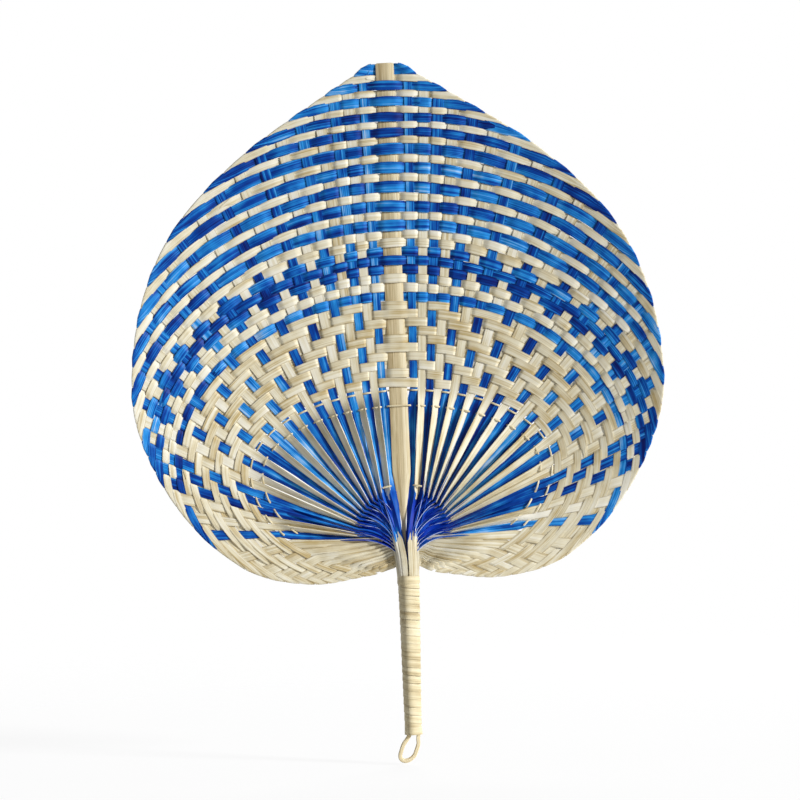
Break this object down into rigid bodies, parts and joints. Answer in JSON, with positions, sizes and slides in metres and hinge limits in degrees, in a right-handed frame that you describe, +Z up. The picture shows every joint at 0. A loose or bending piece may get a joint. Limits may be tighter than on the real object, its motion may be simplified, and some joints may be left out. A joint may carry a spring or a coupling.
{
  "type": "hand fan",
  "caption": "Heart-shaped hand fan woven from natural and blue-dyed bamboo strips on a flat spine, with a strip-wrapped handle and a hanging loop.",
  "frame": {"origin": "middle of the handle's grip, on its axis", "axes": "+Z up the fan from the handle to the tip of the blade, the face along -Y, +X to the viewer's right"},
  "size_m": [0.3014, 0.0124, 0.4001],
  "materials": {
    "natural_bamboo": "split bamboo strip, natural straw colour, satin",
    "blue_bamboo": "split bamboo strip dyed blue, satin",
    "slat_bamboo": "thick bamboo slat, natural, satin",
    "peeled_bamboo": "thin peeled bamboo strip, pale, satin"
  },
  "bodies": {
    "root": {"strip_01": "blue_bamboo", "strip_02": "natural_bamboo", "strip_03": "blue_bamboo", "strip_04": "natural_bamboo", "strip_05": "blue_bamboo", "strip_06": "natural_bamboo", "strip_07": "blue_bamboo", "strip_08": "natural_bamboo", "strip_09": "blue_bamboo", "strip_10": "natural_bamboo", "strip_11": "blue_bamboo", "strip_12": "natural_bamboo", "strip_13": "blue_bamboo", "strip_14": "natural_bamboo", "strip_15": "blue_bamboo", "strip_16": "natural_bamboo", "strip_17": "blue_bamboo", "strip_18": "natural_bamboo", "strip_19": "blue_bamboo", "strip_20": "natural_bamboo", "strip_21": "natural_bamboo", "strip_22": "blue_bamboo", "strip_23": "blue_bamboo", "strip_24": "blue_bamboo", "strip_25": "natural_bamboo", "strip_26": "natural_bamboo", "strip_27": "blue_bamboo", "strip_28": "natural_bamboo", "strip_29": "natural_bamboo", "strip_30": "natural_bamboo", "strip_31": "natural_bamboo", "strip_32": "natural_bamboo", "strip_33": "natural_bamboo", "strip_34": "natural_bamboo", "strip_35": "natural_bamboo", "strip_36": "natural_bamboo", "strip_37": "natural_bamboo", "spine": "slat_bamboo", "tails_left": "natural_bamboo", "tails_right": "natural_bamboo", "handle_wrap": "peeled_bamboo", "hanging_loop": "slat_bamboo", "binding_outer": "peeled_bamboo", "binding_inner": "peeled_bamboo", "binding_throat": "peeled_bamboo"}
  },
  "joints": []
}
